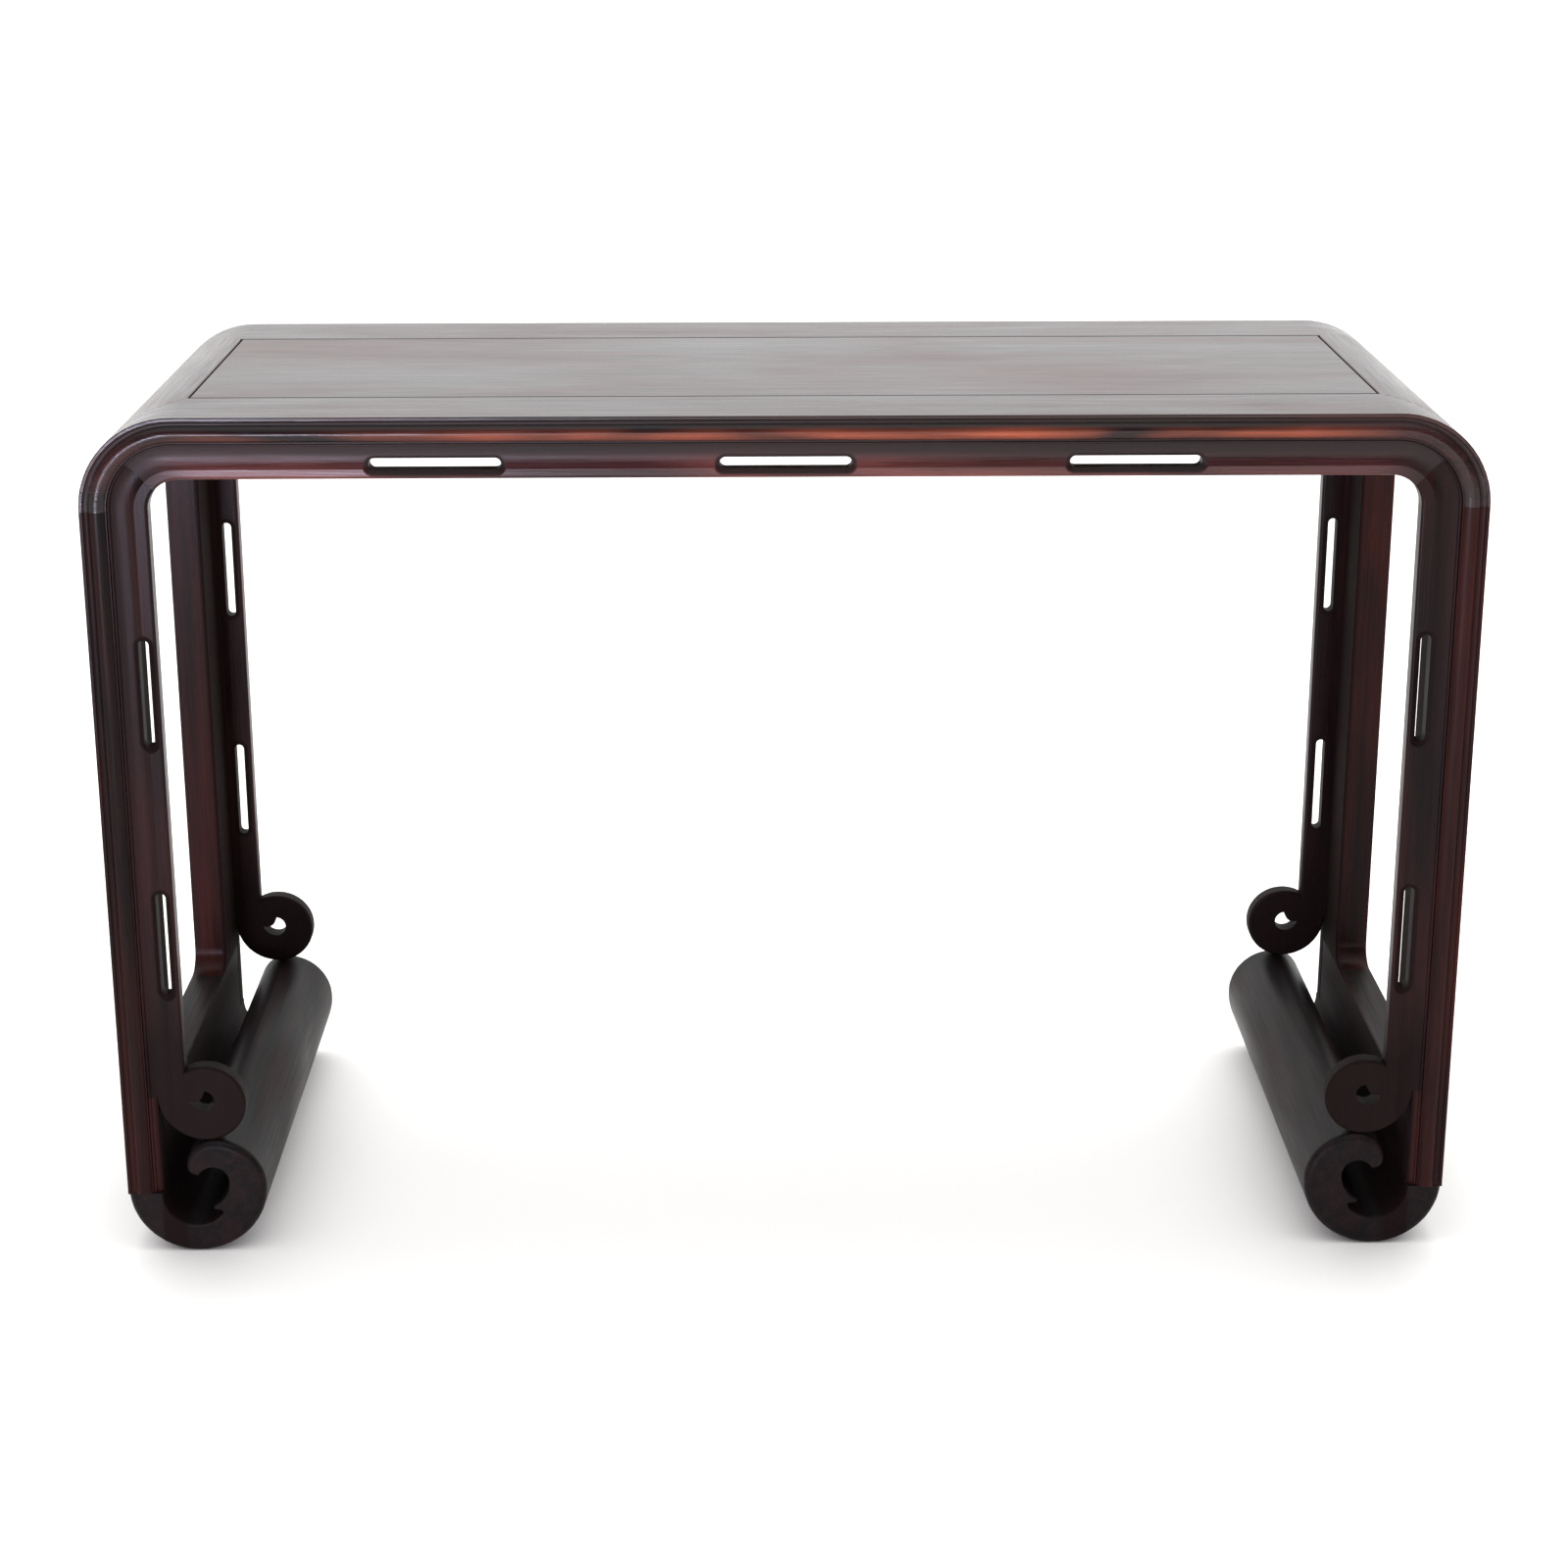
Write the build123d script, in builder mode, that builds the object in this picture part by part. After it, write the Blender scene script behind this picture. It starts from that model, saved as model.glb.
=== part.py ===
"""Altar table with rounded waterfall corners, pierced aprons and scroll feet.

Millimetres, +Z up, +X along the length, front towards -Y.  The origin is on
the floor under the middle of the table.  Pieces are drawn for the front
right-hand corner and mirrored to the other corners.
"""

import os
from math import atan2, cos, degrees, radians, sin, sqrt

from build123d import *

# ------------------------------------------------------------ overall sizes
length = 1250.0
depth = 450.0
height = 814.0

# ------------------------------------------------------------ mitred top frame
member_width = 85.0  # plan width of rails and end members, and radius of the round ends
rail_thickness = 24.0
end_thickness = 33.0  # also the thickness of the leg stiles and the foot walls
band_depth = 25.0  # how far the moulded band runs in from the front

# ------------------------------------------------------------ edge moulding
lip_width = 3.0
lip_setback = 2.0
lip_round = 1.0
cove_width = 6.0
cove_depth = 2.0
roll_setback = 2.7  # where the cove runs into the roll
roll_foot_setback = 4.5  # lower end of the roll
roll_crown = 15.0  # from the outer edge down to the fullest point of the roll
quirk = 1.0

# ------------------------------------------------------------ top panel and battens
panel_thickness = 13.0
panel_gap = 2.0
panel_chamfer = 0.8  # on the edges both sides of the gap
tongue_thickness = 5.0
tongue_length = 7.0
tongue_top = 4.0  # from the top of the panel to the tongue
groove_clearance = 0.2
groove_end_clearance = 1.0
batten_places = (-270.0, 0.0, 270.0)
batten_width = 40.0
batten_thickness = 20.0
batten_tenon_width = 30.0
batten_tenon_thickness = 7.0
batten_tenon_length = 18.0
batten_tenon_rise = 1.5  # above the underside of the rails
dovetail_height = 4.0
dovetail_neck = 26.0
dovetail_flare = 2.5

# ------------------------------------------------------------ aprons and spandrels
board_thickness = 17.0
board_setback = 6.8
apron_height = 33.0
spandrel_width = 36.0
opening_radius = 28.0
bead_width = 3.0
bead_height = 1.4
hollow_root = 0.8
hollow_depth = 2.2
hollow_width = 21.0
edge_round = 3.0  # round the opening and the curls
board_tongue = 5.0
board_tongue_thickness = 6.0
board_tongue_end = 20.0  # the tongue stops this far from each end

# ------------------------------------------------------------ pierced slots
slot_bevel_width = 3.6
slot_bevel_depth = 2.6
slot_bevel_start = 4.0  # from the face of the board to the foot of the bevel
apron_slot_spacing = 310.0
apron_slot_length = 117.0
apron_slot_height = 10.5
apron_slot_rise = 13.0  # from the lower edge of the apron to the slot centre
stile_slot_length = 101.0
stile_slot_width = 9.5
stile_slot_inset = 12.5  # from the inner edge of the spandrel
stile_slot_low = 73.0  # from the top of the curl to the lower slot
stile_slot_high = 121.0  # from the bend axis down to the upper slot

# ------------------------------------------------------------ leg stiles
stile_depth = 85.0
stile_flare = 22.0
wall_top = 134.0
lap_foot = 61.0  # the front of the leg laps over the foot down to here

# ------------------------------------------------------------ scroll feet
foot_end_setback = 3.0
sole_cut = 0.8  # the round underside is planed off by this much
sole_radius = 64.0
heel_radius = 67.0
roll_radius = 48.0
hook_radius = 27.0
roll_thickness = 27.0  # over the eye of the scroll
hook_lip_angle = 20.0
eye_radius = 15.0
eye_shift = 2.0
barb_root_angle = 210.0
barb_tip_x = 9.5  # from the middle of the channel
barb_tip_z = 13.5
barb_hollow = 1.0  # how far the underside of the barb dips below a straight line
barb_round = 2.5
channel_radius = 31.0
floor_thickness = 28.3
foot_edge_round = 7.0  # outside edges of the end faces
scroll_edge_round = 2.0  # edges of the channel, the barb and the eye

# ------------------------------------------------------------ curls on the spandrels
curl_x_from_wall = 44.5  # wall face to the middle of the curl
curl_lower_radius = 38.0
curl_upper_radius = 37.5
curl_eye_shift = (1.5, 2.6)  # from the middle of the curl to the middle of its eye
curl_eye_radius = 10.5
curl_eye_tail = 13.0  # from the middle of the eye to the point of its tail
curl_tongue = (2.5, 2.5)  # from the middle of the eye to the nose that grows into it
seat_clearance = 0.2  # curl to roll

# ------------------------------------------------------------ loose tenons
key_thickness = 12.0
key_width = 26.0
key_depth = 24.0  # into each piece
mitre_key_thickness = 7.0
mitre_key_width = 18.0
mitre_key_depth = 15.0
mitre_key_offset = 28.0  # from the panel corner, along the mitre
spline_thickness = 5.0
spline_width = 16.0
spline_depth = 7.0
spline_inset = 7.0  # from the back of the board
key_end_clearance = 1.0

# ------------------------------------------------------------ derived places
half_length = length / 2
half_depth = depth / 2
axis_x = half_length - member_width
axis_z = height - member_width
panel_half_width = half_depth - member_width
band_back = half_depth - band_depth
band_inner = member_width - rail_thickness
wall_inner = half_length - end_thickness
wall_radius = member_width - end_thickness
board_face = half_depth - board_setback
board_back = board_face - board_thickness
board_inner = band_inner - spandrel_width
bead_end = band_inner - bead_width
hollow_end = bead_end - hollow_width
apron_bottom = height - rail_thickness - apron_height
stile_back = half_depth - stile_depth
rail_underside = height - rail_thickness
panel_underside = height - panel_thickness
foot_end = half_depth - foot_end_setback
roll_axis_x = half_length - sole_radius - heel_radius + roll_radius
roll_axis_z = heel_radius + roll_radius - hook_radius - sole_cut
curl_shift = wall_inner - curl_x_from_wall - roll_axis_x
curl_reach = curl_lower_radius + hook_radius + seat_clearance
curl_z = roll_axis_z + sqrt(curl_reach**2 - curl_shift**2)
cheek_top = curl_z - curl_lower_radius + curl_x_from_wall
curl_top = curl_z + curl_upper_radius

stile_slot_heights = (
    curl_top + stile_slot_low + stile_slot_length / 2,
    axis_z - stile_slot_high - stile_slot_length / 2,
)
bend_axis = Axis((axis_x, 0, axis_z), (0, 1, 0))


# ------------------------------------------------------------ helpers
def rail_plane(x):
    """Plane across the rails: local x is the distance from the bend axis, local y is Y."""
    return Plane(origin=(x, 0, axis_z), x_dir=(0, 0, 1), z_dir=(-1, 0, 0))


def leg_plane(z):
    """Plane across a leg, with the same local coordinates."""
    return Plane(origin=(axis_x, 0, z), x_dir=(1, 0, 0), z_dir=(0, 0, 1))


def block(low, high, mode=Mode.ADD):
    """A plain block between two corners, added to or cut from the part being built."""
    size = [b - a for a, b in zip(low, high)]
    middle = tuple((a + b) / 2 for a, b in zip(low, high))
    with Locations(middle):
        Box(*size, mode=mode)


def place(part, left, back):
    """The front right-hand piece moved to another corner by mirroring."""
    if left and back:
        return part.rotate(Axis.Z, 180)
    if left:
        return mirror(part, about=Plane.YZ)
    if back:
        return mirror(part, about=Plane.XZ)
    return part


def save(part, label):
    """Label a finished piece and write it."""
    part.label = label
    export_step(part, f"parts/{label}.step")
    print(label, round(part.volume), len(part.solids()))


# ------------------------------------------------------------ sections
def moulded_band(plane):
    """Lip, cove and roll: the moulded edge shared by rails, corners and legs."""
    lip_y = lip_setback - half_depth
    cove_start = member_width - lip_width
    roll_start = cove_start - cove_width
    roll_end = band_inner + quirk
    roll_foot = roll_foot_setback - half_depth
    with BuildSketch(plane) as section:
        with BuildLine():
            Polyline(
                (band_inner, -band_back),
                (member_width, -band_back),
                (member_width, lip_y),
                (cove_start, lip_y),
            )
            ThreePointArc(
                (cove_start, lip_y),
                ((cove_start + roll_start) / 2, lip_y + cove_depth),
                (roll_start, roll_setback - half_depth),
            )
            ThreePointArc(
                (roll_start, roll_setback - half_depth),
                (member_width - roll_crown, -half_depth),
                (roll_end, roll_foot),
            )
            Polyline((roll_end, roll_foot), (band_inner, roll_foot), (band_inner, -band_back))
        make_face()
        outer_corner = section.vertices().group_by(Axis.X)[-1].sort_by(Axis.Y)[0]
        fillet(outer_corner, lip_round)
    return section.sketch


def flat_section(plane, inner, outer, front, back):
    """A plain rectangular section between two radii and two distances from the middle."""
    with BuildSketch(plane) as section:
        with Locations(((inner + outer) / 2, -(front + back) / 2)):
            Rectangle(outer - inner, front - back)
    return section.sketch


def hollow_line():
    """Line of the hollow that runs beside the bead, for a section of the boards."""
    root = (bead_end, hollow_root - board_face)
    deepest = ((bead_end + hollow_end) / 2, hollow_depth - board_face)
    ThreePointArc(root, deepest, (hollow_end, -board_face))
    Line((bead_end, -board_face), root)


def board_hollow(plane):
    """Section of the hollow alone, to carry it on over a flat face."""
    with BuildSketch(plane) as section:
        with BuildLine():
            hollow_line()
            Line((hollow_end, -board_face), (bead_end, -board_face))
        make_face()
    return section.sketch


def board_section(plane, inner):
    """Bead, hollow and flat: the section shared by aprons, spandrels and cheeks."""
    with BuildSketch(plane) as section:
        with BuildLine():
            Polyline(
                (hollow_end, -board_face),
                (board_inner, -board_face),
                (board_inner, -board_back),
                (band_inner, -board_back),
                (band_inner, -board_face),
            )
            ThreePointArc(
                (band_inner, -board_face),
                (band_inner - bead_width / 2, -board_face - bead_height),
                (bead_end, -board_face),
            )
            hollow_line()
        make_face()
        with Locations((inner, -half_depth)):
            Rectangle(member_width, depth, align=(Align.MIN, Align.CENTER), mode=Mode.INTERSECT)
    return section.sketch


# ------------------------------------------------------------ joints
def panel_grooves():
    """Cut the groove round the inside of the frame for the tongue of the panel."""
    middle = height - tongue_top - tongue_thickness / 2
    half = tongue_thickness / 2 + groove_clearance
    x = axis_x + tongue_length + groove_end_clearance
    y = panel_half_width + tongue_length + groove_end_clearance
    block((-x, -y, middle - half), (x, y, middle + half), Mode.SUBTRACT)


def mitre_key(mode, clearance=0.0):
    """Loose tenon across the front right mitre, or its mortise."""
    offset = mitre_key_offset / sqrt(2)
    outside = sqrt(member_width**2 - offset**2)
    inside = sqrt(band_inner**2 - offset**2)
    middle = (axis_x + offset, -panel_half_width - offset, axis_z + (outside + inside) / 2)
    with Locations(Location(middle, (0, 0, 45))):
        Box(2 * (mitre_key_depth + clearance), mitre_key_width, mitre_key_thickness, mode=mode)


def leg_key(mode, z, clearance=0.0):
    """Loose tenon standing in the thickness of the front right leg, or its mortise."""
    with Locations((half_length - end_thickness / 2, -(stile_back + band_back) / 2, z)):
        Box(key_thickness, key_width, 2 * (key_depth + clearance), mode=mode)


def board_spline(mode, clearance=0.0):
    """Loose spline across the mitre of apron and spandrel, or its slots."""
    radius = (member_width - opening_radius + band_inner) / 4 + board_inner / 2
    middle = (axis_x + radius / sqrt(2), -board_back - spline_inset, axis_z + radius / sqrt(2))
    with Locations(Location(middle, (0, 45, 0))):
        Box(2 * (spline_depth + clearance), spline_thickness, spline_width, mode=mode)


def board_tongue_block(mode, clearance=0.0):
    """Tongue along the top of the apron, or its groove in the rail (right-hand half)."""
    middle = (board_face - hollow_depth + board_back) / 2
    half = board_tongue_thickness / 2
    block(
        (0, -middle - half, rail_underside),
        (axis_x - board_tongue_end, half - middle, rail_underside + board_tongue + clearance),
        mode,
    )


def spandrel_tongue_block(mode, clearance=0.0):
    """Tongue along the outer edge of a spandrel, or its groove in the leg."""
    middle = (board_face - hollow_depth + board_back) / 2
    half = board_tongue_thickness / 2
    edge = axis_x + band_inner
    block(
        (edge, -middle - half, cheek_top + board_tongue_end),
        (edge + board_tongue + clearance, half - middle, axis_z - board_tongue_end),
        mode,
    )


def batten_tenons(mode, clearance=0.0):
    """Tenons of the battens in the front rail, or their mortises."""
    low = rail_underside + batten_tenon_rise
    for x in batten_places:
        block(
            (
                x - batten_tenon_width / 2,
                -panel_half_width - batten_tenon_length - clearance,
                low,
            ),
            (x + batten_tenon_width / 2, -panel_half_width, low + batten_tenon_thickness),
            mode,
        )


# ------------------------------------------------------------ top frame
def make_rail():
    """Front rail: straight moulded length with both ends bent down and mitred."""
    mitre = Plane(origin=(axis_x, -panel_half_width, 0), z_dir=(1, 1, 0))
    with BuildPart() as rail:
        for x, bent in ((0, False), (axis_x, True)):
            sections = (
                moulded_band(rail_plane(x)),
                flat_section(
                    rail_plane(x), band_inner, member_width, band_back, panel_half_width
                ),
            )
            for section in sections:
                if bent:
                    revolve(section, bend_axis, 90)
                else:
                    extrude(section, amount=-axis_x)
        split(bisect_by=mitre, keep=Keep.BOTTOM)
        top_edges = rail.edges().filter_by(Axis.X).group_by(Axis.Z)[-1]
        chamfer(top_edges.sort_by(Axis.Y)[-1], panel_chamfer)
        mitre_key(Mode.SUBTRACT, key_end_clearance)
        board_tongue_block(Mode.SUBTRACT, groove_clearance)
        mirror(about=Plane.YZ)
        panel_grooves()
        batten_tenons(Mode.SUBTRACT, key_end_clearance)
    return rail.part


def make_end_member():
    """Right-hand end member: the waterfall bend between the two rails."""
    mitre = Plane(origin=(axis_x, -panel_half_width, 0), z_dir=(1, 1, 0))
    with BuildPart() as end:
        revolve(moulded_band(rail_plane(axis_x)), bend_axis, 90)
        thick = flat_section(rail_plane(axis_x), wall_radius, member_width, band_back, 0)
        revolve(thick, bend_axis, 90)
        split(bisect_by=mitre, keep=Keep.TOP)
        top_edges = end.edges().filter_by(Axis.Y).group_by(Axis.Z)[-1]
        chamfer(top_edges.sort_by(Axis.X)[0], panel_chamfer)
        mitre_key(Mode.SUBTRACT, key_end_clearance)
        leg_key(Mode.SUBTRACT, axis_z, key_end_clearance)
        mirror(about=Plane.XZ)
        panel_grooves()
    return end.part


def make_panel():
    """Floating panel, flush with the frame, tongued all round and grooved for the battens."""
    half_x = axis_x - panel_gap
    half_y = panel_half_width - panel_gap
    tongue_z = height - tongue_top - tongue_thickness
    reach = tongue_length + panel_gap
    with BuildPart() as panel:
        block((-half_x, -half_y, panel_underside), (half_x, half_y, height))
        chamfer(panel.faces().sort_by(Axis.Z)[-1].edges(), panel_chamfer)
        block(
            (-half_x - reach, -half_y - reach, tongue_z),
            (half_x + reach, half_y + reach, tongue_z + tongue_thickness),
        )
        for x in batten_places:
            extrude(dovetail(x, -depth), amount=2 * depth, mode=Mode.SUBTRACT)
    return panel.part


def dovetail(x, offset):
    """Section of the dovetail between a batten and the underside of the panel."""
    half = dovetail_neck / 2
    with BuildSketch(Plane.XZ.offset(offset)) as section:
        with BuildLine():
            Polyline(
                (x - half, panel_underside),
                (x + half, panel_underside),
                (x + half + dovetail_flare, panel_underside + dovetail_height),
                (x - half - dovetail_flare, panel_underside + dovetail_height),
                (x - half, panel_underside),
            )
        make_face()
    return section.sketch


def make_batten(x):
    """Cross batten: dovetailed into the panel and tenoned into both rails."""
    low = rail_underside + batten_tenon_rise
    with BuildPart() as batten:
        block(
            (x - batten_width / 2, -panel_half_width, panel_underside - batten_thickness),
            (x + batten_width / 2, panel_half_width, panel_underside),
        )
        reach = panel_half_width - panel_gap
        extrude(dovetail(x, -reach), amount=2 * reach)
        tenon_reach = panel_half_width + batten_tenon_length
        block(
            (x - batten_tenon_width / 2, -tenon_reach, low),
            (x + batten_tenon_width / 2, tenon_reach, low + batten_tenon_thickness),
        )
    return batten.part


# ------------------------------------------------------------ aprons and spandrels
def knee_opening():
    """The opening between the legs, with rounded top corners, as a cutting tool."""
    inner = axis_x + board_inner
    with BuildPart() as opening:
        with BuildSketch(Plane.XZ) as outline:
            with Locations((0, apron_bottom / 2)):
                Rectangle(2 * inner, apron_bottom)
            fillet(outline.vertices().group_by(Axis.Y)[-1], opening_radius)
        extrude(amount=depth, both=True)
    return opening.part


def pierce(x, z, long, wide, upright):
    """Cut a round-ended slot with a bevelled rim through the front board."""
    turn = 90 if upright else 0
    bevel_foot = board_face - slot_bevel_start
    bevel_angle = degrees(atan2(slot_bevel_width, slot_bevel_depth))
    with BuildSketch(Plane.XZ.offset(bevel_foot)) as rim:
        with Locations(Location((x, z), turn)):
            SlotOverall(long, wide)
    extrude(rim.sketch, amount=2 * slot_bevel_start, taper=-bevel_angle, mode=Mode.SUBTRACT)
    extrude(rim.sketch, amount=-board_thickness, mode=Mode.SUBTRACT)


def make_apron():
    """Front apron: beaded board under the rail, bent into both corners and pierced."""
    mitre = Plane(origin=(axis_x, 0, axis_z), z_dir=(1, 0, -1))
    with BuildPart() as apron:
        extrude(board_section(rail_plane(0), board_inner), amount=-axis_x)
        revolve(board_section(rail_plane(axis_x), board_inner), bend_axis, 90)
        split(bisect_by=mitre, keep=Keep.BOTTOM)
        add(knee_opening(), mode=Mode.SUBTRACT)
        fillet(apron.edges().filter_by(on_face).filter_by(on_opening), edge_round)
        board_tongue_block(Mode.ADD)
        board_spline(Mode.SUBTRACT, key_end_clearance)
        for x in (0, apron_slot_spacing):
            pierce(x, apron_bottom + apron_slot_rise, apron_slot_length, apron_slot_height, False)
        mirror(about=Plane.YZ)
    return apron.part


def on_face(edge):
    """True for an edge that lies in the front or the back face of the boards."""
    places = [edge.position_at(share).Y for share in (0, 0.5, 1)]
    near = min(abs(places[0] + board_face), abs(places[0] + board_back))
    return max(places) - min(places) < 0.01 and near < 0.01


def on_curl(edge):
    """True for an edge on the round outline of the curl."""
    return edge.geom_type == GeomType.CIRCLE and edge.position_at(0.5).Z < curl_top


def on_opening(edge):
    """True for an edge on the outline of the knee opening."""
    middle = edge.position_at(0.5)
    if edge.geom_type == GeomType.CIRCLE:
        return abs(edge.radius - opening_radius) < 0.01 and middle.Z < apron_bottom
    below_apron = abs(middle.Z - apron_bottom) < 0.01
    beside_leg = abs(middle.X - axis_x - board_inner) < 0.01
    return below_apron or beside_leg


def curl_section():
    """Spiral end of a spandrel: local x is X, local y is Z."""
    x = wall_inner - curl_x_from_wall
    low = curl_z - curl_lower_radius
    side = (wall_inner, low + curl_x_from_wall)
    upper_x = x + curl_upper_radius - curl_lower_radius
    left = (x - curl_lower_radius, curl_z)
    top = (upper_x, curl_z + curl_upper_radius)
    inner = axis_x + board_inner
    outer = axis_x + bead_end
    notch = (inner, curl_z + sqrt(curl_upper_radius**2 - (inner - upper_x) ** 2))
    with BuildSketch(Plane.XZ.offset(board_back)) as section:
        with BuildLine():
            RadiusArc(side, (x, low), curl_x_from_wall)
            RadiusArc((x, low), left, curl_lower_radius)
            RadiusArc(left, top, curl_upper_radius)
            RadiusArc(top, notch, curl_upper_radius)
            Polyline(notch, (inner, curl_top), (outer, curl_top), (outer, side[1]), side)
        make_face()
    return section.sketch


def curl_eye():
    """Comma-shaped eye of the curl, with a tongue that grows into it from above."""
    x = wall_inner - curl_x_from_wall + curl_eye_shift[0]
    z = curl_z + curl_eye_shift[1]
    top = (x, z + curl_eye_radius)
    bottom = (x, z - curl_eye_radius)
    tail = (x + curl_eye_tail, z)
    with BuildSketch(Plane.XZ.offset(board_back)) as section:
        with BuildLine():
            RadiusArc(bottom, top, curl_eye_radius)
            TangentArc(bottom, tail, tangent=(1, 0))
            ThreePointArc(tail, (x + curl_tongue[0], z + curl_tongue[1]), top)
        make_face()
    return section.sketch


def make_spandrel():
    """Front right spandrel: upright beaded board that ends in a curl."""
    mitre = Plane(origin=(axis_x, 0, axis_z), z_dir=(1, 0, -1))
    with BuildPart() as spandrel:
        revolve(board_section(rail_plane(axis_x), board_inner), bend_axis, 90)
        split(bisect_by=mitre, keep=Keep.TOP)
        extrude(board_section(leg_plane(axis_z), board_inner), amount=cheek_top - axis_z)
        add(knee_opening(), mode=Mode.SUBTRACT)
        block((axis_x, -board_face, 0), (wall_inner, -board_back, curl_top), Mode.SUBTRACT)
        extrude(curl_section(), amount=board_thickness)
        outline = spandrel.edges().filter_by(on_face)
        fillet(outline.filter_by(lambda e: on_opening(e) or on_curl(e)), edge_round)
        extrude(curl_eye(), amount=board_thickness, mode=Mode.SUBTRACT)
        extrude(board_hollow(leg_plane(curl_top)), amount=-2 * curl_lower_radius, mode=Mode.SUBTRACT)
        spandrel_tongue_block(Mode.ADD)
        board_spline(Mode.SUBTRACT, key_end_clearance)
        slot_x = axis_x + board_inner + stile_slot_inset
        for z in stile_slot_heights:
            pierce(slot_x, z, stile_slot_length, stile_slot_width, True)
    return spandrel.part


# ------------------------------------------------------------ legs
def flare(z, up):
    """Quarter-hollow that eases the back edge of a leg into the piece it stands on."""
    reach = stile_flare if up else -stile_flare
    start = -stile_back
    with BuildSketch(Plane.YZ.offset(wall_inner)) as hollow:
        with BuildLine():
            Polyline((start, z + reach), (start, z), (start + stile_flare, z))
            RadiusArc(
                (start + stile_flare, z),
                (start, z + reach),
                stile_flare if up else -stile_flare,
            )
        make_face()
    return hollow.sketch


def make_stile():
    """Front right leg: moulded edge, square body behind it and a lap over the foot."""
    with BuildPart() as stile:
        extrude(moulded_band(leg_plane(lap_foot)), amount=axis_z - lap_foot)
        body = flat_section(
            leg_plane(wall_top), wall_radius, member_width, band_back, stile_back
        )
        extrude(body, amount=axis_z - wall_top)
        extrude(board_section(leg_plane(lap_foot), wall_radius), amount=cheek_top - lap_foot)
        cheek_edges = stile.edges().filter_by(Axis.Z).filter_by(on_face)
        fillet(cheek_edges.sort_by(Axis.X)[0], edge_round)
        extrude(flare(wall_top, True), amount=end_thickness)
        extrude(flare(axis_z, False), amount=end_thickness)
        leg_key(Mode.SUBTRACT, wall_top, key_end_clearance)
        leg_key(Mode.SUBTRACT, axis_z, key_end_clearance)
        spandrel_tongue_block(Mode.SUBTRACT, groove_clearance)
    return stile.part


def make_foot():
    """Right-hand foot: a wall that turns under and rolls up into an open scroll."""
    wall_x = half_length
    base = -sole_cut
    sole_x = wall_x - sole_radius
    heel_x = sole_x - heel_radius
    heel_z = base + heel_radius
    roll_x = heel_x + roll_radius
    roll_top = heel_z + roll_radius
    hook_z = roll_top - hook_radius
    hook_x = roll_x + hook_radius
    eye_top = roll_top - roll_thickness
    eye_z = eye_top - eye_radius
    eye_x = roll_x + eye_shift
    lip_angle = radians(hook_lip_angle)
    hook_lip = (eye_x + eye_radius * cos(lip_angle), eye_z + eye_radius * sin(lip_angle))
    channel_x = wall_inner - channel_radius
    channel_z = base + floor_thickness + channel_radius
    barb_angle = radians(barb_root_angle)
    barb_root = (
        channel_x + channel_radius * cos(barb_angle),
        channel_z + channel_radius * sin(barb_angle),
    )
    barb_tip = (channel_x - barb_tip_x, channel_z - barb_tip_z)
    with BuildPart() as foot:
        with BuildSketch(Plane.XZ) as section:
            with BuildLine():
                Line((wall_inner, wall_top), (wall_x, wall_top))
                Line((wall_x, wall_top), (wall_x, base + sole_radius))
                RadiusArc((wall_x, base + sole_radius), (sole_x, base), sole_radius)
                RadiusArc((sole_x, base), (heel_x, heel_z), heel_radius)
                RadiusArc((heel_x, heel_z), (roll_x, roll_top), roll_radius)
                RadiusArc((roll_x, roll_top), (hook_x, hook_z), hook_radius)
                TangentArc((hook_x, hook_z), hook_lip, tangent=(0, -1))
                ThreePointArc(hook_lip, (eye_x, eye_top), (eye_x - eye_radius, eye_z))
                TangentArc((eye_x - eye_radius, eye_z), barb_tip, tangent=(0, -1))
                ThreePointArc(
                    barb_tip,
                    (
                        (barb_tip[0] + barb_root[0]) / 2,
                        (barb_tip[1] + barb_root[1]) / 2 - barb_hollow,
                    ),
                    barb_root,
                )
                ThreePointArc(
                    barb_root,
                    (channel_x, channel_z - channel_radius),
                    (wall_inner, channel_z),
                )
                Line((wall_inner, channel_z), (wall_inner, wall_top))
            make_face()
            for corner in (barb_tip, barb_root):
                fillet(section.vertices().sort_by_distance(corner)[0], barb_round)
        extrude(amount=foot_end)
        end_edges = foot.faces().sort_by(Axis.Y)[0].edges()
        fillet(end_edges.sort_by(Axis.X)[0], foot_edge_round)
        end_edges = foot.faces().sort_by(Axis.Y)[0].edges()
        hollow_edges = end_edges.sort_by_distance((channel_x, -foot_end, channel_z))
        fillet(hollow_edges.filter_by(GeomType.CIRCLE)[0], scroll_edge_round)
        block((0, -depth, -height), (length, depth, 0), Mode.SUBTRACT)
        block((wall_inner, -depth, lap_foot), (wall_x, -band_back, height), Mode.SUBTRACT)
        leg_key(Mode.SUBTRACT, wall_top, key_end_clearance)
        mirror(about=Plane.XZ)
    return foot.part


# ------------------------------------------------------------ build and write
def make_keys():
    """The loose tenons of the front right corner, one solid list for each kind."""
    with BuildPart() as mitre_keys:
        mitre_key(Mode.ADD)
    with BuildPart() as head_keys:
        leg_key(Mode.ADD, axis_z)
    with BuildPart() as foot_keys:
        leg_key(Mode.ADD, wall_top)
    with BuildPart() as splines:
        board_spline(Mode.ADD)
    return {
        "frame_mitre_tenons": mitre_keys.part,
        "leg_head_tenons": head_keys.part,
        "leg_foot_tenons": foot_keys.part,
        "apron_mitre_splines": splines.part,
    }


FACES = {"front": False, "back": True}
SIDES = {"right": False, "left": True}


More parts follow.
